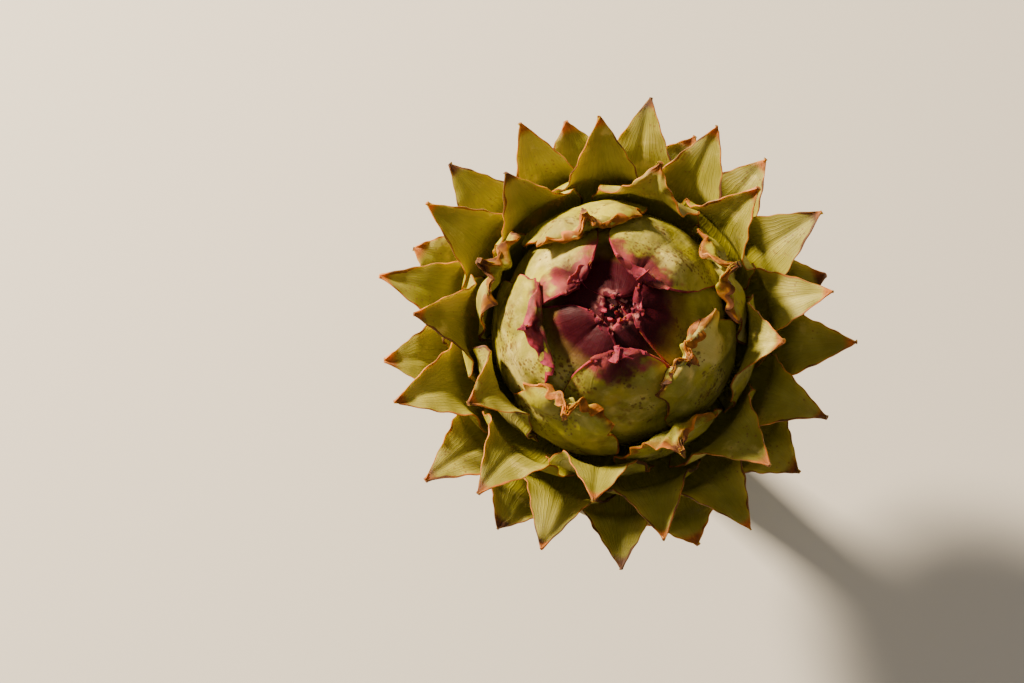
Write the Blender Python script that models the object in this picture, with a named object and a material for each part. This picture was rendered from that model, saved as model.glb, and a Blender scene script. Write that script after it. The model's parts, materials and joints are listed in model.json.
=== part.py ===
"""A closed cardoon flower head: a spiral of bracts round a solid heart, on its cut stem.

+Z runs up the axis of the head. The origin is the middle of the stem's flat cut face.
Every bract lies on its own shell, one pitch outside the shell of the bract before it,
and follows the next one round the axis by the golden angle.
"""

import math

import bmesh
import bpy

# The whole head, in metres and degrees.
BRACT_COUNT = 54
GOLDEN_ANGLE = 137.508
FIRST_AZIMUTH = -18.6
FIRST_OUTER = 13
MIDDLE_HEIGHT = 0.086

# The innermost shell and the step from one bract's shell to the next.
SHELL_RADIUS = 0.018
SHELL_RISE = 0.020
SHELL_PITCH = 0.00045

# Latitudes on the shells: where a bract grows from the heart and where its tip turns free.
ROOT_LATITUDE = (-25.0, -72.0)
FREE_LATITUDE_LOW = -30.0
FREE_LATITUDE_SPAN = 76.0
FREE_LATITUDE_FADE = 14.0
FREE_LATITUDE_TOP = 80.0

# Three bracts fold over the middle, by number, and a collar of a few more closes round them.
CLOSING_CHANGES = {9: -3.0, 10: 4.0, 11: 11.0}
COLLAR_CLOSING = 8.0
COLLAR_TURN = 1.2
COLLAR_SPREAD = 2.0
COLLAR_BEND = 12.0

# The bracts open from this place in the spiral, and are fully open a few places further.
OPEN_TURN = 3.5
OPEN_SPAN = 4.0

# The free tip: its length, how far it turns outwards, and how much of it is the bend.
TIP_LENGTH = (0.0018, 0.0185)
TIP_LENGTH_LAST = 0.0085
TIP_TURN_INNER = 86.0
TIP_TURN_OUTER = 50.0
BEND_SHARE = 0.40

# Half widths across a bract, its shoulders where it is closed and where it is open,
# and its thickness at the midrib and at the margins.
ROOT_HALF_WIDTH = 0.0065
BLADE_HALF_WIDTH = 0.0108
BLADE_HALF_WIDTH_EXTRA = 0.0034
SHOULDER_SHARE = (0.72, 0.86)
POINT_HALF_WIDTH = 0.0004
WIDEST_HALF_ANGLE = 37.0
MIDRIB_THICKNESS = (0.0008, 0.0014)
MIDRIB_GROWTH = 32
MARGIN_THICKNESS = 0.00065
POINT_THICKNESS = 0.0005

# Mesh rows on a bract, across and along its blade, finer on the strongly curved inner ones.
INNER_BRACTS = 18
ROWS_ACROSS = (6, 4)
ROWS_BLADE = (7, 5)
ROWS_TIP = 4

# The heart and the stem.
STEM_RADIUS = 0.0065
STEM_TOP = 0.034
NECK_ROWS = 4
ROOT_GAP = 0.0004
CORE_GAP = 0.0007
HEART_SIDES = 28
HEART_SIDE_ROWS = 9
CORE_ROWS = 8
CORE_TOP_LATITUDE = 62.0

OLIVE_GREEN = (0.23, 0.25, 0.055)
CREAM_GREEN = (0.46, 0.42, 0.17)
DEEP_MAROON = (0.16, 0.022, 0.045)
STEM_GREEN = (0.25, 0.33, 0.12)
BRACT_ROUGHNESS = 0.55
STEM_ROUGHNESS = 0.65


def mix(start, end, share):
    """The value a share of the way from start to end."""
    return start + (end - start) * share


def smooth_step(value):
    """Rise smoothly from 0 at 0 to 1 at 1."""
    value = min(max(value, 0.0), 1.0)
    return value * value * (3.0 - 2.0 * value)


def root_latitude(number):
    """Latitude where a bract leaves the heart, lower for each bract further out."""
    return math.radians(mix(*ROOT_LATITUDE, number / (BRACT_COUNT - 1)))


def openness(number):
    """0 on the bracts that close the head and 1 on those with a wide free tip."""
    return smooth_step((number - FIRST_OUTER - OPEN_TURN) / OPEN_SPAN)


def free_latitude(number):
    """Latitude where a bract's tip turns away from the closed head."""
    turn = number - FIRST_OUTER
    latitude = FREE_LATITUDE_LOW + FREE_LATITUDE_SPAN * math.exp(-turn / FREE_LATITUDE_FADE)
    latitude += CLOSING_CHANGES.get(number, 0.0)
    latitude += COLLAR_CLOSING * math.exp(-(((turn - COLLAR_TURN) / COLLAR_SPREAD) ** 2))
    return math.radians(min(latitude, FREE_LATITUDE_TOP))


def tip_length(number):
    """Length of the free tip: tiny at the centre, longest a third of the way out."""
    turn = number - FIRST_OUTER
    length = mix(*TIP_LENGTH, smooth_step((turn + 6) / 20))
    return mix(length, TIP_LENGTH_LAST, smooth_step((turn - 26) / 14))


def tip_turn(number):
    """Angle by which the free tip bends outwards from its shell."""
    turn = number - FIRST_OUTER
    if turn < 0:
        return math.radians(TIP_TURN_INNER * math.exp(turn / 3.5))
    extra = (TIP_TURN_INNER - TIP_TURN_OUTER) * math.exp(-turn / 6)
    collar = COLLAR_BEND * (1 - openness(number))
    return math.radians(TIP_TURN_OUTER + extra + collar)


def blade_half_width(number):
    """Half width of a bract's blade, wider on the bracts that close the top."""
    turn = number - FIRST_OUTER
    return BLADE_HALF_WIDTH + BLADE_HALF_WIDTH_EXTRA * min(math.exp(-(turn + 3) / 9), 1.0)


def shell_point(number, latitude):
    """Radius, height and outward direction of a bract's shell at a latitude."""
    offset = SHELL_PITCH * number
    radial = math.cos(latitude) * SHELL_RISE
    rise = math.sin(latitude) * SHELL_RADIUS
    length = math.hypot(radial, rise)
    out_radial = radial / length
    out_rise = rise / length
    radius = SHELL_RADIUS * math.cos(latitude) + offset * out_radial
    height = MIDDLE_HEIGHT + SHELL_RISE * math.sin(latitude) + offset * out_rise
    return radius, height, math.atan2(out_rise, out_radial)


def free_point(number, share):
    """Radius, height and outward direction a share of the way along the free tip."""
    radius, height, outward = shell_point(number, free_latitude(number))
    steps = 24
    step = tip_length(number) * share / steps
    angle = outward
    for index in range(steps):
        along = share * (index + 0.5) / steps
        angle = outward - tip_turn(number) * smooth_step(along / BEND_SHARE / 2 + 0.1)
        radius -= step * math.sin(angle)
        height += step * math.cos(angle)
    return radius, height, angle


def spine_point(number, along):
    """Radius, height and outward direction on a bract's middle line, from 0 to 2.

    0 to 1 is the blade, which lies on the shell, and 1 to 2 is the free tip.
    """
    if along <= 1:
        latitude = mix(root_latitude(number), free_latitude(number), along)
        return shell_point(number, latitude)
    return free_point(number, along - 1)


def half_width(number, along):
    """Half width of a bract: wider up the blade, then a triangle to the point."""
    widest = blade_half_width(number)
    shoulder = mix(*SHOULDER_SHARE, openness(number))
    if along <= 1:
        rise = smooth_step(along / 0.6)
        narrowing = mix(1.0, shoulder, smooth_step((along - 0.6) / 0.4))
        return mix(ROOT_HALF_WIDTH, widest, rise) * narrowing
    taper = (2.0 - along) ** 0.95
    return mix(POINT_HALF_WIDTH, widest * shoulder, taper)


def thickness(number, side, along):
    """Thickness of a bract: fleshy along the midrib, thin at the margins and the point."""
    point = smooth_step(along - 1)
    midrib = mix(*MIDRIB_THICKNESS, smooth_step(number / MIDRIB_GROWTH))
    middle = mix(midrib, POINT_THICKNESS, point)
    margin = mix(MARGIN_THICKNESS, POINT_THICKNESS, point)
    return mix(middle, margin, side * side)


def bract_point(number, side, along, outer):
    """One point on a bract: side runs from -1 to 1, along from 0 to 2, outer is 0 or 1."""
    radius, height, outward = spine_point(number, along)
    half_angle = half_width(number, along) / max(radius, POINT_HALF_WIDTH)
    half_angle = min(half_angle, math.radians(WIDEST_HALF_ANGLE))
    azimuth = math.radians(FIRST_AZIMUTH + GOLDEN_ANGLE * number) + side * half_angle
    layer = thickness(number, side, along) * outer
    radius += layer * math.cos(outward)
    height += layer * math.sin(outward)
    return radius * math.cos(azimuth), radius * math.sin(azimuth), height


def make_material(name, colour, roughness):
    """A Principled material."""
    material = bpy.data.materials.new(name)
    material.use_nodes = True
    shader = material.node_tree.nodes["Principled BSDF"]
    shader.inputs["Base Color"].default_value = (*colour, 1.0)
    shader.inputs["Roughness"].default_value = roughness
    shader.inputs["Metallic"].default_value = 0.0
    return material


def add_object(name, bm, material):
    """Link a finished bmesh into the scene as one smooth-shaded object."""
    bmesh.ops.recalc_face_normals(bm, faces=bm.faces)
    mesh = bpy.data.meshes.new(name)
    bm.to_mesh(mesh)
    bm.free()
    mesh.shade_smooth()
    mesh.set_sharp_from_angle(angle=math.radians(50))
    mesh.materials.append(material)
    item = bpy.data.objects.new(name, mesh)
    bpy.context.scene.collection.objects.link(item)
    return item


def bract_colour(number):
    """Maroon at the centre, cream green where the head is closed, olive outside."""
    turn = number - FIRST_OUTER
    to_cream = smooth_step((turn + 7) / 6)
    to_olive = smooth_step((turn - 2) / 10)
    inner = [mix(a, b, to_cream) for a, b in zip(DEEP_MAROON, CREAM_GREEN)]
    return [mix(a, b, to_olive) for a, b in zip(inner, OLIVE_GREEN)]


def make_bract(number):
    """One bract: a flat grid given a second side, then laid on its shell."""
    size = 0 if number < INNER_BRACTS else 1
    across = ROWS_ACROSS[size]
    blade_rows = ROWS_BLADE[size]
    rows = blade_rows + ROWS_TIP
    bm = bmesh.new()
    bmesh.ops.create_grid(bm, x_segments=across, y_segments=rows, size=1.0)
    second = bmesh.ops.extrude_face_region(bm, geom=bm.faces[:], use_keep_orig=True)
    for vert in second["geom"]:
        if isinstance(vert, bmesh.types.BMVert):
            vert.co.z = 1.0
    for vert in bm.verts:
        row = (vert.co.y + 1) / 2 * rows
        along = row / blade_rows if row <= blade_rows else 1 + (row - blade_rows) / ROWS_TIP
        vert.co = bract_point(number, vert.co.x, along, vert.co.z)
    name = f"bract_{number + 1:02d}"
    return add_object(name, bm, make_material(name, bract_colour(number), BRACT_ROUGHNESS))


def heart_side():
    """The slope under the roots of the bracts, from the lowest bract up to the innermost."""
    points = []
    for row in range(HEART_SIDE_ROWS + 1):
        number = (BRACT_COUNT + 3) * (1 - row / HEART_SIDE_ROWS)
        radius, height, outward = shell_point(number, root_latitude(number))
        points.append((radius + ROOT_GAP * math.sin(outward), height - ROOT_GAP * math.cos(outward)))
    return points


def heart_profile():
    """Radius and height from the stem's cut, up its side and the heart's, to the top."""
    side = heart_side()
    points = [(0.0, 0.0), (STEM_RADIUS, 0.0), (STEM_RADIUS, STEM_TOP * 0.5)]
    for row in range(NECK_ROWS):
        share = row / NECK_ROWS
        radius = mix(STEM_RADIUS, side[0][0], share**2)
        points.append((radius, mix(STEM_TOP, side[0][1], share)))
    points += side
    for row in range(CORE_ROWS + 1):
        latitude = mix(ROOT_LATITUDE[0], CORE_TOP_LATITUDE, row / CORE_ROWS)
        radius, height, _ = shell_point(-CORE_GAP / SHELL_PITCH, math.radians(latitude))
        points.append((radius, height))
    points.append((0.0, points[-1][1] + 0.0006))
    return points


def make_heart():
    """The stem, the receptacle and the unopened florets on it, grown as one piece."""
    bm = bmesh.new()
    verts = [bm.verts.new((radius, 0.0, height)) for radius, height in heart_profile()]
    edges = [bm.edges.new(pair) for pair in zip(verts, verts[1:])]
    bmesh.ops.spin(
        bm,
        geom=verts + edges,
        cent=(0, 0, 0),
        axis=(0, 0, 1),
        angle=math.tau,
        steps=HEART_SIDES,
        use_merge=True,
    )
    bmesh.ops.remove_doubles(bm, verts=bm.verts, dist=0.00001)
    material = make_material("stem_and_heart", STEM_GREEN, STEM_ROUGHNESS)
    return add_object("stem_and_heart", bm, material)


def main():
    for item in list(bpy.data.objects):
        bpy.data.objects.remove(item, do_unlink=True)
    make_heart()
    for number in range(BRACT_COUNT):
        make_bract(number)


main()
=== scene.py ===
"""The looks of a closed cardoon head: fleshy bracts in a spiral on a heart with its cut stem."""

import json
import math

import bmesh
import bpy
import numpy as np
from bpy.props import FloatProperty, FloatVectorProperty, IntProperty, PointerProperty
from mathutils import Euler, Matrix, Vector


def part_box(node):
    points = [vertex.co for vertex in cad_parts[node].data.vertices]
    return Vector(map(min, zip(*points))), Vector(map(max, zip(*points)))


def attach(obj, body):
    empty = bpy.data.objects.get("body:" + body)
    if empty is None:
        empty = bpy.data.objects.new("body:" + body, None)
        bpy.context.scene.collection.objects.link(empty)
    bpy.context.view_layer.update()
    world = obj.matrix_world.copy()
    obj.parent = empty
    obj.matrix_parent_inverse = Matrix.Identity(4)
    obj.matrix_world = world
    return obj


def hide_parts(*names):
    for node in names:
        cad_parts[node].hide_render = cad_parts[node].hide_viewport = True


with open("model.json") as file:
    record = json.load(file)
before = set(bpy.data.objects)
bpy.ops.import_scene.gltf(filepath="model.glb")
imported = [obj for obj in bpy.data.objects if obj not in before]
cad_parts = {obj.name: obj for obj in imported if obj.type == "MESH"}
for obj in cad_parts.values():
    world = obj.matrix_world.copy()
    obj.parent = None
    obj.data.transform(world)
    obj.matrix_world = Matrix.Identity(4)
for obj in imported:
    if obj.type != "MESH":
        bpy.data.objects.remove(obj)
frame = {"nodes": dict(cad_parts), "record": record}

bl_info = {
    "name": "Cardoon Head",
    "version": (1, 0, 0),
    "blender": (4, 5, 0),
    "location": "View3D > Sidebar > Cardoon",
    "description": "Builds a closed cardoon head from a spiral of bracts",
    "category": "Add Mesh",
}

BODY = "root"
STEM_NODE = "stem_and_heart"
BRACT_NODES = sorted(name for name in frame["nodes"] if name.startswith("bract_"))
BRACT_COUNT = len(BRACT_NODES)
SLOTS = {part["node"]: part["material_slot"] for part in frame["record"]["subparts"]}

# The spiral: each bract follows the last by the golden angle, counter-clockwise outwards.
GOLDEN_ANGLE = math.radians(137.508)
FIRST_AZIMUTH = math.radians(-18.6)
# A bract's turn is its number counted from the first one whose tip stands open.
FIRST_OPEN = 13
ROOT_LATITUDES = (math.radians(-25.0), math.radians(-72.0))
LOWEST_FREE_LATITUDE = -30.0
FREE_LATITUDE_SPAN = 76.0
FREE_LATITUDE_FADE = 14.0
HIGHEST_FREE_LATITUDE = 80.0
# Three bracts fold over the middle, by number, and a collar of a few more closes round them.
CLOSING_CHANGES = {9: -3.0, 10: 4.0, 11: 11.0}
COLLAR_CLOSING = 8.0
COLLAR_TURN = 1.2
COLLAR_SPREAD = 2.0
# One bract of the closed head rolls over into a hood.
HOOD_TURN = -1
HOOD_SPREAD = 0.6
# Lengths of the free tips at the axis and at the bottom of the head, and what two kinds add.
AXIS_TIP = 0.0018
LOWEST_TIP = 0.0085
COLLAR_EXTRA = 0.0018
HOOD_EXTRA = 0.0034

# Mesh rows on a bract, and how many points its middle line is worked out at.
ROWS_ACROSS = 44
ROWS_ALONG = 72
TIP_ROWS_SHARE = 0.5
SHOULDER_SHARE = 0.86
MIDDLE_LINE_POINTS = 161
MILLIMETRE = 0.001

# How far a bract's mesh may reach past the box of its node.
STRAY_LIMIT = 0.007

# The stem, the bevel round its cut and the ribs in its skin.
STEM_RADIUS = 0.0062
STEM_TOP = 0.034
CUT_BEVEL = 0.0004
RIB_COUNT = 14
RIB_TWIST = 25
RIB_DEPTH = 0.06
# The heart's skin lies under the roots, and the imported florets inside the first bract's shell.
HEART_SKIN_INSET = 0.0004
FLORETS_INSET = 0.0007

# How far from the axis the maroon stain reaches.
INNER_STAIN = 0.0120
CLOSED_STAIN = 0.0085

# The stage: a floor, a key and a fill light, an even surround and a camera over the head.
FLOOR_SIZE = 3.0
LIGHT_TARGET = (0.0, 0.0, 0.08)
KEY_PLACE = (-0.74, 0.60, 0.58)
KEY_TINT = (1.0, 0.82, 0.58)
FILL_PLACE = (0.1, -0.2, 1.2)
FILL_TINT = (1.0, 0.90, 0.78)
SURROUND_TINT = (0.95, 0.86, 0.72, 1.0)
SURROUND_STRENGTH = 0.16
CAMERA_ELEVATION = math.radians(81.0)
CAMERA_DISTANCE = 0.592
CAMERA_TARGET = (0.0, 0.0, 0.0865)
# Small turns that put the head right of the middle of the picture.
CAMERA_TURNS = (math.radians(-0.25), math.radians(1.95), 0.0)


def mix(start, end, share):
    """The value a share of the way from start to end, for numbers and arrays."""
    return start + (end - start) * share


def smooth(value):
    """Rise smoothly from 0 at 0 to 1 at 1, for numbers and arrays."""
    value = np.clip(value, 0.0, 1.0)
    return value * value * (3.0 - 2.0 * value)


def bump_at(value, centre, width):
    """A smooth hump of height 1 at centre."""
    return np.exp(-(((value - centre) / width) ** 2))


class HeadSettings(bpy.types.PropertyGroup):
    """Sizes of the whole head."""

    middle_height: FloatProperty(
        name="Middle Height",
        description="Height of the middle of the round head above the stem's cut",
        default=0.086,
        unit="LENGTH",
    )
    shell_radius: FloatProperty(
        name="Inner Radius",
        description="Radius of the innermost bract's shell",
        default=0.018,
        unit="LENGTH",
    )
    shell_rise: FloatProperty(
        name="Inner Rise",
        description="Half height of the innermost bract's shell",
        default=0.020,
        unit="LENGTH",
    )
    shell_pitch: FloatProperty(
        name="Bract Pitch",
        description="Distance from one bract's shell to the next one's",
        default=0.00045,
        unit="LENGTH",
    )
    tip_length: FloatProperty(
        name="Tip Length",
        description="Length of the longest free tip",
        default=0.0185,
        unit="LENGTH",
    )
    blade_half_width: FloatProperty(
        name="Blade Half Width",
        description="Half width of an outer bract at its widest",
        default=0.0108,
        unit="LENGTH",
    )
    margin_thickness: FloatProperty(
        name="Margin Thickness",
        description="Thickness of a bract at its margins",
        default=0.00022,
        unit="LENGTH",
    )
    midrib_thickness: FloatProperty(
        name="Midrib Thickness",
        description="Thickness of an outer bract along its midrib",
        default=0.0012,
        unit="LENGTH",
    )
    ruffle: FloatProperty(
        name="Ruffle",
        description="Height of the waves in the margins of the bracts that close the head",
        default=0.0009,
        unit="LENGTH",
    )
    seed: IntProperty(name="Seed", description="Seed of the small differences", default=7)


class ColourSettings(bpy.types.PropertyGroup):
    """Colours of the bracts and the stem."""

    olive: FloatVectorProperty(
        name="Olive", description="Inner face of an outer bract", default=(0.205, 0.190, 0.013),
        subtype="COLOR", min=0.0, max=1.0,
    )
    pale: FloatVectorProperty(
        name="Pale", description="Pale green flesh between the veins", default=(0.36, 0.325, 0.055),
        subtype="COLOR", min=0.0, max=1.0,
    )
    yellow: FloatVectorProperty(
        name="Yellow", description="Yellow green at the shoulders", default=(0.40, 0.36, 0.004),
        subtype="COLOR", min=0.0, max=1.0,
    )
    cream: FloatVectorProperty(
        name="Cream", description="Outer face of the closed bracts", default=(0.56, 0.47, 0.14),
        subtype="COLOR", min=0.0, max=1.0,
    )
    rust: FloatVectorProperty(
        name="Rust", description="Dried margins and tips", default=(0.36, 0.115, 0.02),
        subtype="COLOR", min=0.0, max=1.0,
    )
    peach: FloatVectorProperty(
        name="Peach", description="Lightest dried places", default=(0.52, 0.15, 0.018),
        subtype="COLOR", min=0.0, max=1.0,
    )
    bark: FloatVectorProperty(
        name="Bark", description="Darkest dried places", default=(0.085, 0.03, 0.012),
        subtype="COLOR", min=0.0, max=1.0,
    )
    pink: FloatVectorProperty(
        name="Pink", description="Ends of the lobes near the middle", default=(0.19, 0.018, 0.037),
        subtype="COLOR", min=0.0, max=1.0,
    )
    maroon: FloatVectorProperty(
        name="Maroon", description="Middle of the head", default=(0.038, 0.0020, 0.0060),
        subtype="COLOR", min=0.0, max=1.0,
    )
    # The spine colour is a painted glint: light flecks on the spines near the axis that stand in
    # for highlights.
    spine: FloatVectorProperty(
        name="Spine", description="Light flecks on the middle spines", default=(0.50, 0.19, 0.18),
        subtype="COLOR", min=0.0, max=1.0,
    )
    stem: FloatVectorProperty(
        name="Stem", description="Skin of the stem", default=(0.24, 0.29, 0.11),
        subtype="COLOR", min=0.0, max=1.0,
    )
    pith: FloatVectorProperty(
        name="Pith", description="Pale pith of the stem's cut", default=(0.62, 0.60, 0.36),
        subtype="COLOR", min=0.0, max=1.0,
    )
    pith_shade: FloatVectorProperty(
        name="Pith Shade", description="Greener places in the pith", default=(0.40, 0.43, 0.18),
        subtype="COLOR", min=0.0, max=1.0,
    )


# ---------------------------------------------------------------- the shape of a bract


def root_latitude(number):
    """Latitude where a bract leaves the heart."""
    return mix(*ROOT_LATITUDES, number / (BRACT_COUNT - 1))


def shell_point(head, number, latitude):
    """Radius, height and outward direction of a bract's shell at one or more latitudes."""
    offset = head.shell_pitch * number
    outward = np.arctan2(np.sin(latitude) * head.shell_radius, np.cos(latitude) * head.shell_rise)
    radius = head.shell_radius * np.cos(latitude) + offset * np.cos(outward)
    height = head.middle_height + head.shell_rise * np.sin(latitude) + offset * np.sin(outward)
    return radius, height, outward


class Bract:
    """How one bract grows: its middle line, its width, its folds and its waves."""

    def __init__(self, head, number):
        self.head = head
        self.number = number
        self.turn = number - FIRST_OPEN
        self.azimuth = FIRST_AZIMUTH + GOLDEN_ANGLE * number
        self.random = np.random.RandomState(head.seed + number)
        self.free_latitude = self.latitude_of_tip()
        self.tip_length = self.length_of_tip()
        self.draw_differences()
        self.trace_middle_line()

    def latitude_of_tip(self):
        """Latitude where the tip turns away from the closed head."""
        fade = math.exp(-self.turn / FREE_LATITUDE_FADE)
        latitude = LOWEST_FREE_LATITUDE + FREE_LATITUDE_SPAN * fade
        latitude += CLOSING_CHANGES.get(self.number, 0.0)
        latitude += COLLAR_CLOSING * bump_at(self.turn, COLLAR_TURN, COLLAR_SPREAD)
        highest = HIGHEST_FREE_LATITUDE + 0.85 * max(-5 - self.turn, 0)
        return math.radians(min(latitude, highest))

    def length_of_tip(self):
        """Length of the free tip: tiny at the centre and longest a third of the way out."""
        length = mix(AXIS_TIP, self.head.tip_length, smooth((self.turn + 6) / 20))
        length += COLLAR_EXTRA * bump_at(self.turn, COLLAR_TURN, COLLAR_SPREAD)
        length += HOOD_EXTRA * bump_at(self.turn, HOOD_TURN, HOOD_SPREAD)
        return mix(length, LOWEST_TIP, smooth((self.turn - 26) / 14))

    def draw_differences(self):
        """Seeded small differences between one bract and the next."""
        draw = self.random.uniform
        self.closed = 1.0 - smooth((self.turn - 3.5) / 4.0)
        self.lobed = 1.0 - smooth(self.turn + 1)
        self.gabled = self.closed * (1 - self.lobed)
        self.rolled = bump_at(self.turn, HOOD_TURN, HOOD_SPREAD)
        self.spiky = smooth((-5 - self.turn) / 2)
        self.phases = draw(0, math.tau, 8)
        self.twist = draw(-0.26, 0.26)
        self.sway = draw(-0.0009, 0.0009)
        self.extra_turn = math.radians(draw(-7, 7))
        self.hook = draw(-0.6, 0.9)
        self.cup = draw(0.0007, 0.0025)
        self.waves = draw(1.3, 2.2)
        self.folds = draw(3.0, 4.6)
        self.width_change = draw(0.96, 1.06)
        self.lean = draw(-0.35, 0.35)

    def turn_of_tip(self):
        """Angle by which the tip bends outwards."""
        if self.turn < 0:
            return math.radians(86.0 * math.exp(self.turn / 3.5))
        return math.radians(50.0 + 36.0 * math.exp(-self.turn / 6))

    def trace_middle_line(self):
        """The middle line from root (0) over the free latitude (1) to the point (2)."""
        self.line_along = np.linspace(0, 2, MIDDLE_LINE_POINTS)
        half = MIDDLE_LINE_POINTS // 2
        latitudes = mix(root_latitude(self.number), self.free_latitude, self.line_along[: half + 1])
        radius, height, outward = shell_point(self.head, self.number, latitudes)
        share = self.line_along[half + 1 :] - 1
        turn_of_tip = self.turn_of_tip() + self.extra_turn * (self.turn > 3)
        spread = turn_of_tip * smooth(share / 0.8 + 0.1)
        spread = spread - self.hook * 0.5 * smooth((share - 0.7) / 0.3) * (self.turn > 6)
        spread = spread + math.radians(20) * self.gabled * smooth(share)
        roll = (self.turn_of_tip() + math.radians(35)) * smooth((share - 0.02) / 0.55)
        rim = math.radians(42) * smooth((share - 0.1) / 0.6)
        stand = (outward[-1] - 0.45 + self.lean) * smooth(share / 0.3)
        bend = mix(mix(spread, rim, self.lobed), roll, self.rolled)
        tip_outward = outward[-1] - mix(bend, stand, self.spiky)
        step = self.tip_length / half
        tip_radius = radius[-1] - np.cumsum(step * np.sin(tip_outward))
        tip_height = height[-1] + np.cumsum(step * np.cos(tip_outward))
        self.line_radius = np.concatenate([radius, tip_radius])
        self.line_height = np.concatenate([height, tip_height])
        self.line_outward = np.concatenate([outward, tip_outward])
        steps = np.hypot(np.diff(self.line_radius), np.diff(self.line_height))
        self.line_length = np.concatenate([[0], np.cumsum(steps)])

    def half_width(self, along):
        """Half width: widest on the blade, then a triangle or a blunt end with a point."""
        head = self.head
        widest = head.blade_half_width + 0.0034 * min(math.exp(-(self.turn + 3) / 9), 1.0)
        widest *= self.width_change
        shoulder = mix(SHOULDER_SHARE, 0.68, self.closed)
        blade = mix(0.0065, widest, smooth(along / 0.7))
        blade = blade * mix(1.0, shoulder, smooth((along - 0.6) / 0.4))
        share = np.clip(along - 1, 0, 1)
        triangle = (1 - share) ** 0.95
        gable = 0.75 * (1 - share) ** 1.7 + 0.25 * (1 - share)
        tip = mix(triangle, gable, self.gabled) * widest * shoulder
        width = np.where(along <= 1, blade, tip)
        width = mix(width, self.lobe_width(along, widest), self.lobed)
        jags = 0.03 + 0.03 * self.gabled
        width = width * (1 + jags * np.sin(along * 31 + self.phases[6]) * smooth((along - 0.8) * 5))
        room = 0.95 * np.interp(along, self.line_along, self.line_radius) + 0.0012
        return np.clip(width, 0.00012, room)

    def lobe_width(self, along, widest):
        """Half width of a blade that ends in a round lobe with a small point, or in a spine."""
        length = np.interp(along, self.line_along, self.line_length)
        point = self.tip_length * mix(0.15, 0.8, self.spiky)
        ahead = self.line_length[-1] - length
        left = np.clip((ahead - point) / mix(0.012, 0.006, self.spiky), 0, 1)
        blade = widest * mix(0.6, 1.0, smooth(along / 0.6))
        blade = blade * mix(1.0, 0.76, smooth((along - 0.5) / 0.4))
        spine = 0.0007 * np.clip(ahead / (point + 0.0005), 0, 1)
        return np.maximum(blade * np.sin(left * math.pi / 2) ** 0.65, spine)

    def lift(self, side, along):
        """How far the sheet stands off its smooth shell, outwards."""
        lift = self.ruffles(side, along) + self.turned_margins(side, along)
        return lift + self.blade_shape(side, along) + self.lumps(side, along)

    def ruffles(self, side, along):
        """Waves in the margins, and folds across the bracts that close the head."""
        free = smooth((along - 0.75) / 0.5)
        edge = np.abs(side) ** 3
        beat = self.waves * math.tau * (along - 0.6) + self.phases[0] * (side > 0) + self.phases[1]
        height = (0.30 + 0.60 * self.gabled) * self.head.ruffle * edge * free * (1 - self.spiky)
        waves = height * (np.sin(beat) + 0.5 * np.sin(2.3 * beat + self.phases[2]))
        fold = np.sin(side * self.folds + self.phases[6])
        fold += 0.4 * np.sin(side * 9 + self.phases[7])
        crease = mix(0.25, 1.0, self.gabled) * (1 - self.spiky) * self.head.ruffle
        return waves + self.closed * crease * fold * smooth((along - 0.95) / 0.25)

    def turned_margins(self, side, along):
        """Margins turned outwards at the shoulders of the closed and the first open bracts."""
        everted = 0.0019 * side**4 * smooth((along - 0.80) / 0.25)
        everted += 0.0010 * smooth((along - 0.72) / 0.25)
        everted *= self.closed * (1 - self.spiky)
        curl = 0.0011 + 0.0006 * np.sin(along * 23 + self.phases[2] + (side > 0))
        curl *= side**4 * bump_at(along, 0.97, 0.13) * (1 - smooth((self.turn - 8) / 10))
        return everted + (1 - self.closed) * curl

    def blade_shape(self, side, along):
        """The swollen blade, and the cupped and twisted tip with its midrib."""
        width = self.half_width(along)
        share = np.clip(along - 1, 0, 1)
        pillow = np.sin(np.abs(side) * math.pi) * smooth((along - 0.55) / 0.4)
        pillow *= 1 - smooth(share * 2)
        lift = self.closed * mix(0.0011, 0.0002, self.spiky) * pillow
        cup = mix(self.cup, 0.0001, self.closed)
        lift -= cup * side**2 * smooth(share * 4) * (1 - share)
        lift += 0.00035 * bump_at(side * width, 0, 0.0009) * smooth(share * 5)
        return lift + self.twist * side * width * smooth(share)

    def lumps(self, side, along):
        """Broad unevenness everywhere, and lumps on the bracts that close the head."""
        broad = np.sin(along * 4 + self.phases[3]) * np.sin(side * 2.2 + self.phases[4])
        lump = mix(0.0004, 0.0007, self.gabled) * np.sin(along * 17 + self.phases[4])
        lump *= np.sin(side * 4.5 + self.phases[3] + 2 * along)
        small = mix(0.00012, 0.0003, self.gabled)
        small = small * np.sin(along * 29 + side * 3 + self.phases[1])
        lump += small * np.sin(side * 8 + self.phases[0])
        lump *= smooth((along - 0.35) / 0.3)
        return 0.00025 * broad + lump * self.closed * (1 - self.spiky)

    def surface(self, side, along):
        """Points of the bract's inner face."""
        radius = np.interp(along, self.line_along, self.line_radius)
        height = np.interp(along, self.line_along, self.line_height)
        outward = np.interp(along, self.line_along, self.line_outward)
        share = np.clip(along - 1, 0, 1)
        across = side * self.half_width(along) + self.sway * share**2
        curve = np.maximum(radius / np.maximum(np.cos(outward), 0.3), 0.006)
        angle = across / curve
        lift = self.lift(side, along)
        sideways = curve * np.sin(angle) + lift * np.sin(angle)
        inwards = curve * (1 - np.cos(angle)) - lift * np.cos(angle)
        flat_radius = radius - inwards * np.cos(outward)
        flat_height = height - inwards * np.sin(outward)
        cos, sin = math.cos(self.azimuth), math.sin(self.azimuth)
        x = flat_radius * cos - sideways * sin
        y = flat_radius * sin + sideways * cos
        return np.stack([x, y, flat_height], axis=1)

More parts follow.
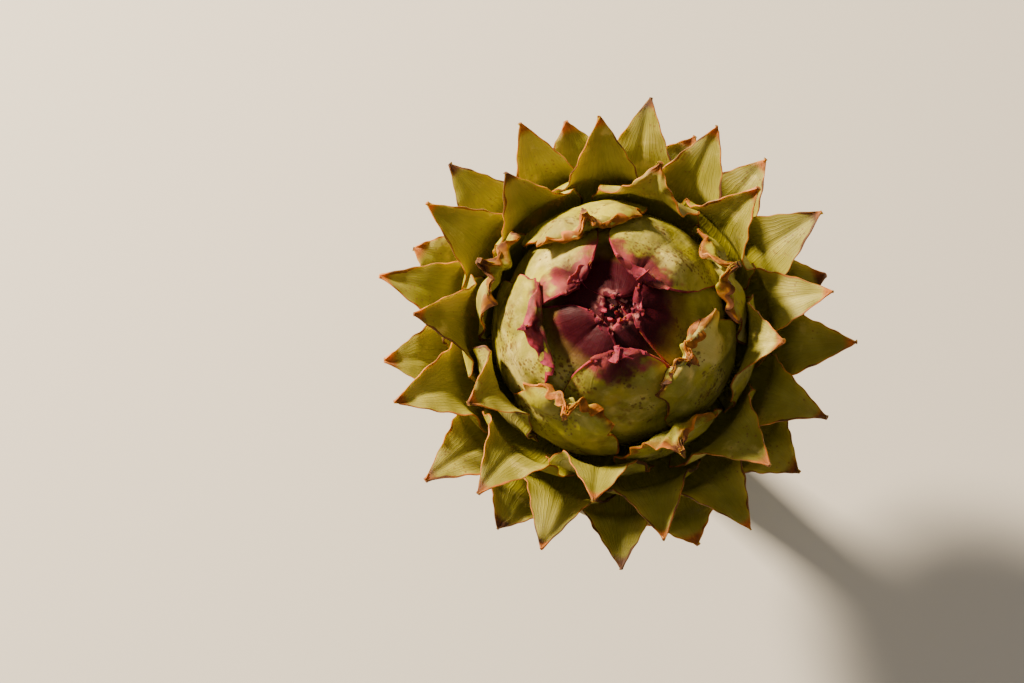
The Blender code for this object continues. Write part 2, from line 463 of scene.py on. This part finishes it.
    def normals(self, side, along):
        """Unit vectors out of the bract's outer face."""
        step = 0.004
        over = self.surface(side + step, along) - self.surface(side - step, along)
        up = self.surface(side, np.minimum(along + step, 2)) - self.surface(side, along - step)
        normal = np.cross(over, up)
        return normal / np.maximum(np.linalg.norm(normal, axis=1, keepdims=True), 1e-12)

    def thickness(self, side, along):
        """Thickness: fleshy along the midrib, thin at the margins and the point."""
        head = self.head
        middle = mix(0.0005, head.midrib_thickness, smooth(self.number / 30))
        middle = mix(middle, 0.0006, smooth(along - 1))
        margin = head.margin_thickness * (1 + 0.6 * self.closed)
        return mix(middle, margin, np.abs(side) ** 2.5)

    def margin_distance(self, side, along):
        """Distance from the nearest margin or the point, in millimetres."""
        length = np.interp(along, self.line_along, self.line_length)
        width = self.half_width(along)
        step = 0.01
        ahead = np.interp(along + step, self.line_along, self.line_length)
        run = np.maximum(ahead - length, 1e-6)
        slope = (self.half_width(along + step) - width) / run
        across = (1 - np.abs(side)) * width / np.sqrt(1 + np.minimum(slope**2, 9))
        return np.minimum(across, self.line_length[-1] - length) / MILLIMETRE

    def point_distance(self, along):
        """Distance from the point along the middle line, in millimetres."""
        length = np.interp(along, self.line_along, self.line_length)
        return (self.line_length[-1] - length) / MILLIMETRE


def flat_slab():
    """A flat grid with a second side and rim, which every bract's mesh is shaped from."""
    bm = bmesh.new()
    bmesh.ops.create_grid(bm, x_segments=ROWS_ACROSS, y_segments=ROWS_ALONG, size=1.0)
    second = bmesh.ops.extrude_face_region(bm, geom=bm.faces[:], use_keep_orig=True)
    for vert in second["geom"]:
        if isinstance(vert, bmesh.types.BMVert):
            vert.co.z = 1.0
    bmesh.ops.recalc_face_normals(bm, faces=bm.faces)
    mesh = bpy.data.meshes.new("flat_slab")
    bm.to_mesh(mesh)
    bm.free()
    return mesh


def add_values(mesh, name, values):
    """Store one number for each vertex under a name that the materials read."""
    attribute = mesh.attributes.new(name, "FLOAT", "POINT")
    attribute.data.foreach_set("value", np.asarray(values, dtype=np.float32))


def finish_piece(name, mesh, material, node):
    """Link a finished mesh as a piece that stands for a node of the frame."""
    mesh.shade_smooth()
    mesh.set_sharp_from_angle(angle=math.radians(60))
    mesh.materials.append(material)
    piece = bpy.data.objects.new(name, mesh)
    bpy.context.scene.collection.objects.link(piece)
    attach(piece, BODY)
    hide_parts(node)


def make_bract(slab, number, material):
    """Shape a copy of the slab into one bract."""
    node = BRACT_NODES[number]
    bract = Bract(bpy.context.scene.cardoon_head, number)
    mesh = slab.copy()
    flat = np.empty(len(mesh.vertices) * 3)
    mesh.vertices.foreach_get("co", flat)
    side, row, outer = flat.reshape(-1, 3).T
    side = np.sin(side * math.pi / 2) * 0.5 + side * 0.5
    row = (row + 1) / 2
    blade_share = 1 - TIP_ROWS_SHARE
    on_tip = 1 + (row - blade_share) / TIP_ROWS_SHARE
    along = np.where(row < blade_share, row / blade_share, on_tip)
    points = bract.surface(side, along)
    points += bract.normals(side, along) * (bract.thickness(side, along) * outer)[:, None]
    mesh.vertices.foreach_set("co", points.ravel())
    add_values(mesh, "side", side)
    add_values(mesh, "along", along)
    add_values(mesh, "margin", bract.margin_distance(side, along))
    add_values(mesh, "point", bract.point_distance(along))
    add_values(mesh, "inner_face", 1 - outer)
    add_values(mesh, "kind", np.full(len(side), bract.phases[5] / math.tau))
    add_values(mesh, "closed", np.full(len(side), bract.closed))
    add_values(mesh, "lobed", np.full(len(side), bract.lobed))
    check_place(node, points)
    finish_piece(f"{node}_leaf", mesh, material, node)


def check_place(node, points):
    """Stop if a bract strays from the place that the frame gives it."""
    low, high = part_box(node)
    below = np.max(np.array(low) - points.min(axis=0))
    above = np.max(points.max(axis=0) - np.array(high))
    stray = max(below, above)
    if stray > STRAY_LIMIT:
        raise RuntimeError(f"{node} strays {stray * 1000:.1f} mm from its place")


# ---------------------------------------------------------------- materials


class Socket:
    """A node's output that can be used in Python expressions."""

    def __init__(self, shader, output):
        self.shader = shader
        self.output = output

    def maths(self, operation, first, second):
        return self.shader.node("ShaderNodeMath", {"operation": operation}, {0: first, 1: second})

    def __add__(self, other):
        return self.maths("ADD", self, other)

    def __radd__(self, other):
        return self.maths("ADD", other, self)

    def __sub__(self, other):
        return self.maths("SUBTRACT", self, other)

    def __rsub__(self, other):
        return self.maths("SUBTRACT", other, self)

    def __mul__(self, other):
        return self.maths("MULTIPLY", self, other)


class Shader:
    """One material's node tree."""

    def __init__(self, name):
        self.material = bpy.data.materials.new(name)
        self.material.use_nodes = True
        self.tree = self.material.node_tree
        self.surface = self.tree.nodes["Principled BSDF"]

    def node(self, kind, settings=None, inputs=None, output=0):
        """Add a node, set it, fill or link its inputs and give back one output."""
        node = self.tree.nodes.new(kind)
        for name, value in (settings or {}).items():
            setattr(node, name, value)
        for key, value in (inputs or {}).items():
            self.fill(node.inputs[key], value)
        return Socket(self, node.outputs[output])

    def fill(self, socket, value):
        """Link a socket to an output, or set its value."""
        if isinstance(value, Socket):
            self.tree.links.new(value.output, socket)
        elif isinstance(value, (tuple, list)) and len(value) == 3 and socket.type == "RGBA":
            socket.default_value = (*value, 1.0)
        else:
            socket.default_value = value

    def attribute(self, name):
        return self.node("ShaderNodeAttribute", {"attribute_name": name}, output="Fac")

    def place(self):
        return self.node("ShaderNodeTexCoord", output="Object")

    def noise(self, scale, detail, roughness=0.5):
        inputs = {"Vector": self.place(), "Scale": scale, "Detail": detail, "Roughness": roughness}
        return self.node("ShaderNodeTexNoise", None, inputs)

    def rise(self, value, start, end):
        """Smoothly 0 below start and 1 above end, or the other way round."""
        low, high = min(start, end), max(start, end)
        first, last = (0.0, 1.0) if start < end else (1.0, 0.0)
        inputs = {"Value": value, "From Min": low, "From Max": high}
        inputs.update({"To Min": first, "To Max": last})
        return self.node("ShaderNodeMapRange", {"interpolation_type": "SMOOTHSTEP"}, inputs)

    def blend(self, share, first, second):
        """Mix two colours."""
        inputs = {"Factor": share, 6: first, 7: second}
        settings = {"data_type": "RGBA", "clamp_factor": True}
        return self.node("ShaderNodeMix", settings, inputs, output=2)

    def grain(self, height, strength):
        """Turn a height in metres into a bumped normal."""
        inputs = {"Height": height, "Distance": 1.0, "Strength": strength}
        return self.node("ShaderNodeBump", None, inputs)

    def finish(self, colour, roughness, normal):
        self.fill(self.surface.inputs["Base Color"], colour)
        self.fill(self.surface.inputs["Roughness"], roughness)
        self.fill(self.surface.inputs["Normal"], normal)
        return self.material


def colour(vector):
    """A colour setting as a plain tuple."""
    return tuple(vector)


def scaled(vector, share):
    """A colour made lighter or darker."""
    return tuple(channel * share for channel in vector)


def vein_pattern(shader):
    """Fine veins that run up the bract and meet at its point: 1 on a vein."""
    side = shader.attribute("side")
    drift = shader.noise(220.0, 2.0)
    phase = side * 46.0 + drift * 3.5
    wave = shader.node("ShaderNodeMath", {"operation": "SINE"}, {0: phase})
    fine = shader.node("ShaderNodeMath", {"operation": "SINE"}, {0: side * 118.0 + drift * 6.0})
    return shader.rise(wave, 0.45, 1.0) * 0.6 + shader.rise(fine, 0.3, 1.0) * 0.4


def speckles(shader, scale, size):
    """Small dark spots scattered in patches: 1 in a spot."""
    inputs = {"Vector": shader.place(), "Scale": scale, "Randomness": 1.0}
    distance = shader.node("ShaderNodeTexVoronoi", {"feature": "F1"}, inputs)
    patches = shader.rise(shader.noise(130.0, 3.0), 0.42, 0.60)
    return shader.rise(distance + (1.0 - patches) * 0.6, size, size * 0.45)


def bract_material(name, pigment):
    """Skin of a bract. pigment is how far the maroon of the middle reaches, in metres."""
    shader = Shader(name)
    side = shader.attribute("side")
    along = shader.attribute("along")
    margin = shader.attribute("margin")
    closed = shader.attribute("closed")
    lobed = shader.attribute("lobed")
    veins = vein_pattern(shader) * (1.0 - closed * 0.75)
    cloud = shader.noise(95.0, 4.0)
    mottle = shader.noise(420.0, 5.0, roughness=0.62)
    away = shader.node("ShaderNodeMath", {"operation": "ABSOLUTE"}, {0: side})
    shoulder = shader.rise(along, 1.5, 1.0) * shader.rise(along, 0.7, 0.95)
    shoulder = shader.rise(away, 0.45, 0.98) * shoulder
    skin = shader.blend(
        shader.attribute("inner_face"),
        outer_face(shader, along, shoulder, veins, cloud, mottle),
        inner_face(shader, along, shoulder, veins, cloud),
    )
    skin = with_crisp_edge(shader, skin, margin, along, closed * (1.0 - lobed), mottle)
    if pigment:
        skin = with_pigment(shader, skin, pigment, away, along, lobed)
    skin = with_dried_rim(shader, skin, margin, lobed)
    fill_with_flesh(shader, 0.12 if pigment else 0.35)
    dents = shader.noise(230.0, 3.0)
    height = (veins + mottle) * 0.00012 + cloud * (0.0002 + closed * 0.0007)
    height = height + dents * closed * 0.0007
    return shader.finish(skin, 0.42 + mottle * 0.25, shader.grain(height, 0.6))


def with_crisp_edge(shader, skin, margin, along, share, mottle):
    """Dry a broad orange edge on the collar, and tint all of the skin a little with olive."""
    colours = bpy.context.scene.cardoon_colours
    edge = shader.rise(margin + (mottle - 0.5) * 3.0, 1.7, 0.5)
    edge = edge * share * shader.rise(along, 0.93, 1.02)
    light = shader.rise(mottle, 0.48, 0.72)
    orange = shader.blend(light, scaled(colours.rust, 0.55), colour(colours.peach))
    skin = shader.blend(edge, skin, orange)
    return shader.blend(shader.rise(mottle, 0.35, 0.75) * 0.22, skin, colour(colours.olive))


def fill_with_flesh(shader, shine):
    """Let light a little way into the flesh, and set how much the skin shines."""
    inputs = shader.surface.inputs
    inputs["Subsurface Weight"].default_value = 0.35
    inputs["Subsurface Radius"].default_value = (1.0, 0.8, 0.1)
    inputs["Subsurface Scale"].default_value = 0.002
    inputs["Specular IOR Level"].default_value = shine


def inner_face(shader, along, shoulder, veins, cloud):
    """Olive inner face, spotted in places and paler in patches that are partly bleached flesh and
    partly painted sunlight, yellow at the shoulders, with a painted glow of light shining through
    low down.
    """
    colours = bpy.context.scene.cardoon_colours
    skin = shader.blend(shader.rise(cloud, 0.35, 0.7), colour(colours.olive), colour(colours.pale))
    skin = shader.blend(veins * 0.22, skin, scaled(colours.olive, 0.6))
    # Cream patches: partly bleached flesh, partly painted sunlit paleness.
    bleached_and_sunlit = shader.rise(shader.noise(150.0, 5.0, roughness=0.65), 0.56, 0.70)
    skin = shader.blend(bleached_and_sunlit * 0.6, skin, colour(colours.cream))
    skin = shader.blend(speckles(shader, 900.0, 0.30) * 0.55, skin, scaled(colours.bark, 1.6))
    skin = shader.blend(shoulder * 0.75, skin, colour(colours.yellow))
    # Painted glow: yellow low down on the inner face stands in for light that bounces and shines
    # through the flesh at the bases.
    return shader.blend(shader.rise(along, 1.08, 0.85) * 0.8, skin, scaled(colours.yellow, 1.1))


def outer_face(shader, along, shoulder, veins, cloud, mottle):
    """Pale outer face, clouded with olive and speckled with purple brown."""
    colours = bpy.context.scene.cardoon_colours
    skin = shader.blend(shader.rise(cloud, 0.38, 0.62), colour(colours.pale), colour(colours.cream))
    skin = shader.blend(shoulder * 0.6, skin, colour(colours.yellow))
    skin = shader.blend(shader.rise(along, 0.8, 0.2) * 0.5, skin, scaled(colours.olive, 1.2))
    skin = shader.blend(veins * 0.12, skin, scaled(colours.olive, 0.9))
    green = shader.rise(shader.noise(85.0, 4.0) + (mottle - 0.5) * 0.35, 0.38, 0.56)
    skin = shader.blend(green * 0.75, skin, scaled(colours.olive, 0.9))
    fresh = shader.rise(shader.noise(120.0, 3.0), 0.48, 0.62)
    skin = shader.blend(fresh * 0.8, skin, scaled(colours.yellow, 0.85))
    skin = shader.blend(speckles(shader, 1300.0, 0.46) * 0.75, skin, colour(colours.bark))
    skin = shader.blend(speckles(shader, 560.0, 0.42) * 0.7, skin, colour(colours.bark))
    bruise = shader.rise(shader.noise(170.0, 5.0, roughness=0.7), 0.56, 0.68)
    return shader.blend(bruise * 0.5, skin, scaled(colours.bark, 1.8))


def with_pigment(shader, skin, reach, away, along, lobed):
    """Blush the lobes that close the head, stain their middles and the axis maroon, and paint
    glints on the spines near the axis.
    """
    colours = bpy.context.scene.cardoon_colours
    rough = shader.noise(300.0, 4.0, roughness=0.6) - 0.5
    point = shader.attribute("point")
    patches = shader.noise(190.0, 3.0) - 0.5
    end = shader.rise(point + patches * 16.0 + rough * 6.0, 7.5, 4.0) * lobed
    deeper = shader.rise(rough, -0.12, 0.12)
    pink = shader.blend(deeper, scaled(colours.pink, 1.3), scaled(colours.pink, 0.5))
    skin = shader.blend(end * 0.92, skin, pink)
    fold = shader.rise(away + rough * 0.4, 0.42, 0.12)
    fold = fold * shader.rise(point + rough * 4.0, 10.0, 6.0)
    skin = shader.blend(fold * lobed * 0.8, skin, scaled(colours.maroon, 0.9))
    flecks = speckles(shader, 900.0, 0.42) * shader.rise(along, 0.9, 1.0)
    skin = shader.blend(flecks * lobed * 0.6, skin, scaled(colours.pink, 0.4))
    radius = axis_distance(shader) + (shader.noise(130.0, 3.0) - 0.5) * 0.006
    ring = shader.rise(radius, reach * 1.35, reach * 0.95) * 0.75
    skin = shader.blend(ring, skin, scaled(colours.maroon, 1.6))
    skin = shader.blend(shader.rise(radius, reach, reach * 0.75), skin, colour(colours.maroon))
    # Painted glints: light flecks on the spines close to the axis stand in for highlights.
    painted_glint = shader.rise(radius, 0.0046, 0.0030)
    painted_glint = painted_glint * shader.rise(shader.noise(900.0, 2.0), 0.50, 0.62)
    return shader.blend(painted_glint * 0.8, skin, colour(colours.spine))


def axis_distance(shader):
    """Distance from the head's axis in metres."""
    inputs = {0: shader.place(), 1: (1.0, 1.0, 0.0)}
    flat = shader.node("ShaderNodeVectorMath", {"operation": "MULTIPLY"}, inputs)
    return shader.node("ShaderNodeVectorMath", {"operation": "LENGTH"}, {0: flat}, output="Value")


def with_dried_rim(shader, skin, margin, lobed):
    """Dry a thin uneven rim and the point to rust and bark, and to pink near the middle."""
    colours = bpy.context.scene.cardoon_colours
    rough = shader.noise(330.0, 4.0, roughness=0.6)
    slow = shader.noise(110.0, 2.0)
    width = 0.05 + shader.rise(slow, 0.45, 0.75) * 0.7
    rim = shader.rise(margin - width * rough * 1.5, 0.16, 0.0)
    dry_point = shader.rise(shader.attribute("point") + (rough - 0.5) * 2.5, 3.2, 1.4)
    dry_point = dry_point * (1.0 - lobed * 0.6)
    dry = shader.node("ShaderNodeMath", {"operation": "MAXIMUM"}, {0: rim, 1: dry_point})
    light = shader.rise(rough, 0.35, 0.7)
    rust = shader.blend(light, scaled(colours.rust, 0.55), scaled(colours.rust, 1.5))
    dark = shader.rise(slow + shader.attribute("kind") * 0.25, 0.62, 0.75)
    rust = shader.blend(dark, rust, colour(colours.bark))
    light = shader.rise(rough, 0.4, 0.6)
    blush = shader.blend(light, scaled(colours.pink, 0.6), scaled(colours.pink, 1.6))
    return shader.blend(dry, skin, shader.blend(lobed, rust, blush))


def stem_material():
    """Ribbed green skin, with pale pith on the cut face."""
    colours = bpy.context.scene.cardoon_colours
    shader = Shader("cardoon_stem_skin")
    rib = shader.attribute("rib")
    cut = shader.attribute("cut")
    cloud = shader.noise(140.0, 4.0)
    fuzz = shader.noise(1500.0, 3.0)
    skin = shader.blend(rib * 0.7, scaled(colours.stem, 0.65), scaled(colours.stem, 1.5))
    skin = shader.blend(shader.rise(cloud, 0.4, 0.7) * 0.4, skin, colour(colours.pale))
    skin = shader.blend(speckles(shader, 700.0, 0.3) * 0.4, skin, scaled(colours.maroon, 1.5))
    greener = shader.rise(cloud, 0.35, 0.7)
    pith = shader.blend(greener, colour(colours.pith), colour(colours.pith_shade))
    skin = shader.blend(cut, skin, pith)
    skin = shader.blend(shader.attribute("top"), skin, colour(colours.maroon))
    height = fuzz * 0.00008 + cloud * 0.0003
    return shader.finish(skin, 0.55 + fuzz * 0.3, shader.grain(height, 0.7))


# ---------------------------------------------------------------- the stem and heart


def heart_profile(head):
    """Radius and height up the stem's side, the slope of the heart and its round top."""
    side = []
    for row in range(15):
        number = (BRACT_COUNT + 2) * (1 - row / 14)
        radius, height, outward = shell_point(head, number, root_latitude(number))
        radius += HEART_SKIN_INSET * math.sin(outward)
        height -= HEART_SKIN_INSET * math.cos(outward)
        side.append((radius, height))
    points = [(STEM_RADIUS, height) for height in np.linspace(CUT_BEVEL, STEM_TOP * 0.94, 20)]
    for share in np.linspace(0, 1, 8)[:-1]:
        radius = mix(STEM_RADIUS, side[0][0], share**2)
        points.append((radius, mix(STEM_TOP, side[0][1], share)))
    points += side
    core = -FLORETS_INSET / head.shell_pitch
    for latitude in np.radians(np.linspace(-25, 84, 24)):
        radius, height, _ = shell_point(head, core, latitude)
        points.append((float(radius), float(height)))
    return points


def spin_stem(bm, profile):
    """Spin the profile, closed at both ends, round the axis."""
    cut = [(0.0, 0.0), (profile[0][0] - CUT_BEVEL, 0.0)]
    top = [(0.0, profile[-1][1] + CUT_BEVEL / 2)]
    verts = [bm.verts.new((radius, 0.0, height)) for radius, height in cut + profile + top]
    edges = [bm.edges.new(pair) for pair in zip(verts, verts[1:])]
    bmesh.ops.spin(
        bm, geom=verts + edges, cent=(0, 0, 0), axis=(0, 0, 1),
        angle=math.tau, steps=120, use_merge=True,
    )
    bmesh.ops.remove_doubles(bm, verts=bm.verts, dist=0.000001)


def press_ribs(bm, core_height):
    """Press ribs into the stem's skin, and mark the ribs, the cut and the florets."""
    ribs = bm.verts.layers.float.new("rib")
    cuts = bm.verts.layers.float.new("cut")
    tops = bm.verts.layers.float.new("top")
    for vert in bm.verts:
        azimuth = math.atan2(vert.co.y, vert.co.x)
        wave = 0.5 + 0.5 * math.cos(RIB_COUNT * azimuth + RIB_TWIST * vert.co.z)
        strength = 1 - float(smooth((vert.co.z - 0.030) / 0.012))
        vert[ribs] = wave ** 2
        vert[cuts] = 1.0 if vert.co.z < CUT_BEVEL / 2 else 0.0
        vert[tops] = 1.0 if vert.co.z > core_height else 0.0
        change = 1 + RIB_DEPTH * (wave ** 2 - 0.6) * strength
        vert.co.x *= change
        vert.co.y *= change


def make_stem_mesh():
    """The mesh of the stem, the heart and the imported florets."""
    head = bpy.context.scene.cardoon_head
    bm = bmesh.new()
    spin_stem(bm, heart_profile(head))
    press_ribs(bm, head.middle_height - head.shell_rise * 0.4)
    bmesh.ops.recalc_face_normals(bm, faces=bm.faces)
    mesh = bpy.data.meshes.new("stem_and_heart_skin")
    bm.to_mesh(mesh)
    bm.free()
    return mesh


# ---------------------------------------------------------------- operators


class MakeStem(bpy.types.Operator):
    """Make the cut stem and the heart that the bracts grow from"""

    bl_idname = "cardoon.make_stem"
    bl_label = "Stem and Heart"

    def execute(self, context):
        finish_piece("stem_and_heart_skin", make_stem_mesh(), stem_material(), STEM_NODE)
        return {"FINISHED"}


def make_group(slot, skin):
    """Make every bract of one slot, from the innermost to the outermost."""
    slab = flat_slab()
    for number, node in enumerate(BRACT_NODES):
        if SLOTS[node] == slot:
            make_bract(slab, number, skin)
    bpy.data.meshes.remove(slab)


class MakeInnerBracts(bpy.types.Operator):
    """Make the maroon bracts that meet at the axis in small spines"""

    bl_idname = "cardoon.make_inner_bracts"
    bl_label = "Inner Bracts"

    def execute(self, context):
        make_group("inner_bract", bract_material("cardoon_inner_skin", INNER_STAIN))
        return {"FINISHED"}


class MakeClosedBracts(bpy.types.Operator):
    """Make the lobed bracts that fold over the middle and the dried collar round them"""

    bl_idname = "cardoon.make_closed_bracts"
    bl_label = "Closed Bracts"

    def execute(self, context):
        make_group("closed_bract", bract_material("cardoon_closed_skin", CLOSED_STAIN))
        return {"FINISHED"}


class MakeOuterBracts(bpy.types.Operator):
    """Make the olive bracts whose pointed tips spread outwards"""

    bl_idname = "cardoon.make_outer_bracts"
    bl_label = "Outer Bracts"

    def execute(self, context):
        make_group("outer_bract", bract_material("cardoon_outer_skin", 0.0))
        return {"FINISHED"}


class MakeStage(bpy.types.Operator):
    """Make the pale floor, the lights and the camera"""

    bl_idname = "cardoon.make_stage"
    bl_label = "Floor, Lights and Camera"

    def execute(self, context):
        make_floor()
        make_lights()
        make_camera()
        return {"FINISHED"}


def make_floor():
    """A wide pale floor under the cut of the stem."""
    bm = bmesh.new()
    bmesh.ops.create_grid(bm, x_segments=1, y_segments=1, size=FLOOR_SIZE)
    mesh = bpy.data.meshes.new("floor")
    bm.to_mesh(mesh)
    bm.free()
    shader = Shader("pale_floor")
    cloud = shader.noise(3.0, 2.0)
    shade = shader.blend(cloud, (0.62, 0.60, 0.57), (0.66, 0.64, 0.61))
    shader.fill(shader.surface.inputs["Base Color"], shade)
    shader.surface.inputs["Roughness"].default_value = 0.8
    mesh.materials.append(shader.material)
    floor = bpy.data.objects.new("floor", mesh)
    bpy.context.scene.collection.objects.link(floor)


def add_light(name, place, target, size, power, tint):
    """A square soft light that faces a target."""
    light = bpy.data.lights.new(name, "AREA")
    light.size = size
    light.energy = power
    light.color = tint
    lamp = bpy.data.objects.new(name, light)
    lamp.location = place
    lamp.rotation_euler = (Vector(target) - Vector(place)).to_track_quat("-Z", "Y").to_euler()
    bpy.context.scene.collection.objects.link(lamp)


def make_lights():
    """A warm low key from the upper left, a weak fill and a pale surround."""
    add_light("key", KEY_PLACE, LIGHT_TARGET, 0.14, 57.0, KEY_TINT)
    add_light("fill", FILL_PLACE, LIGHT_TARGET, 0.8, 3.0, FILL_TINT)
    world = bpy.data.worlds.new("pale_surround")
    world.use_nodes = True
    background = world.node_tree.nodes["Background"]
    background.inputs["Color"].default_value = SURROUND_TINT
    background.inputs["Strength"].default_value = SURROUND_STRENGTH
    bpy.context.scene.world = world


def make_camera():
    """Look down on the head, a little from the front, with the head right of the middle."""
    back = Vector((0.0, -math.cos(CAMERA_ELEVATION), math.sin(CAMERA_ELEVATION)))
    data = bpy.data.cameras.new("camera")
    data.lens = 105.0
    data.sensor_width = 36.0
    camera = bpy.data.objects.new("camera", data)
    camera.location = Vector(CAMERA_TARGET) + back * CAMERA_DISTANCE
    aim = (-back).to_track_quat("-Z", "Y") @ Euler(CAMERA_TURNS).to_quaternion()
    camera.rotation_euler = aim.to_euler()
    bpy.context.scene.collection.objects.link(camera)
    bpy.context.scene.camera = camera


class CardoonPanel(bpy.types.Panel):
    """Sizes, colours and buttons"""

    bl_idname = "VIEW3D_PT_cardoon"
    bl_label = "Cardoon Head"
    bl_space_type = "VIEW_3D"
    bl_region_type = "UI"
    bl_category = "Cardoon"

    def draw(self, context):
        for settings in (context.scene.cardoon_head, context.scene.cardoon_colours):
            for name in settings.__annotations__:
                self.layout.prop(settings, name)
        for operator in OPERATORS:
            self.layout.operator(operator.bl_idname)


OPERATORS = (MakeStem, MakeInnerBracts, MakeClosedBracts, MakeOuterBracts, MakeStage)
CLASSES = (HeadSettings, ColourSettings, *OPERATORS, CardoonPanel)


def register():
    for item in CLASSES:
        bpy.utils.register_class(item)
    bpy.types.Scene.cardoon_head = PointerProperty(type=HeadSettings)
    bpy.types.Scene.cardoon_colours = PointerProperty(type=ColourSettings)


def unregister():
    del bpy.types.Scene.cardoon_colours
    del bpy.types.Scene.cardoon_head
    for item in reversed(CLASSES):
        bpy.utils.unregister_class(item)


def main():
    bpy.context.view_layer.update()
    register()
    bpy.ops.cardoon.make_stem()
    bpy.ops.cardoon.make_inner_bracts()
    bpy.ops.cardoon.make_closed_bracts()
    bpy.ops.cardoon.make_outer_bracts()
    bpy.ops.cardoon.make_stage()


if __name__ == "__main__":
    main()
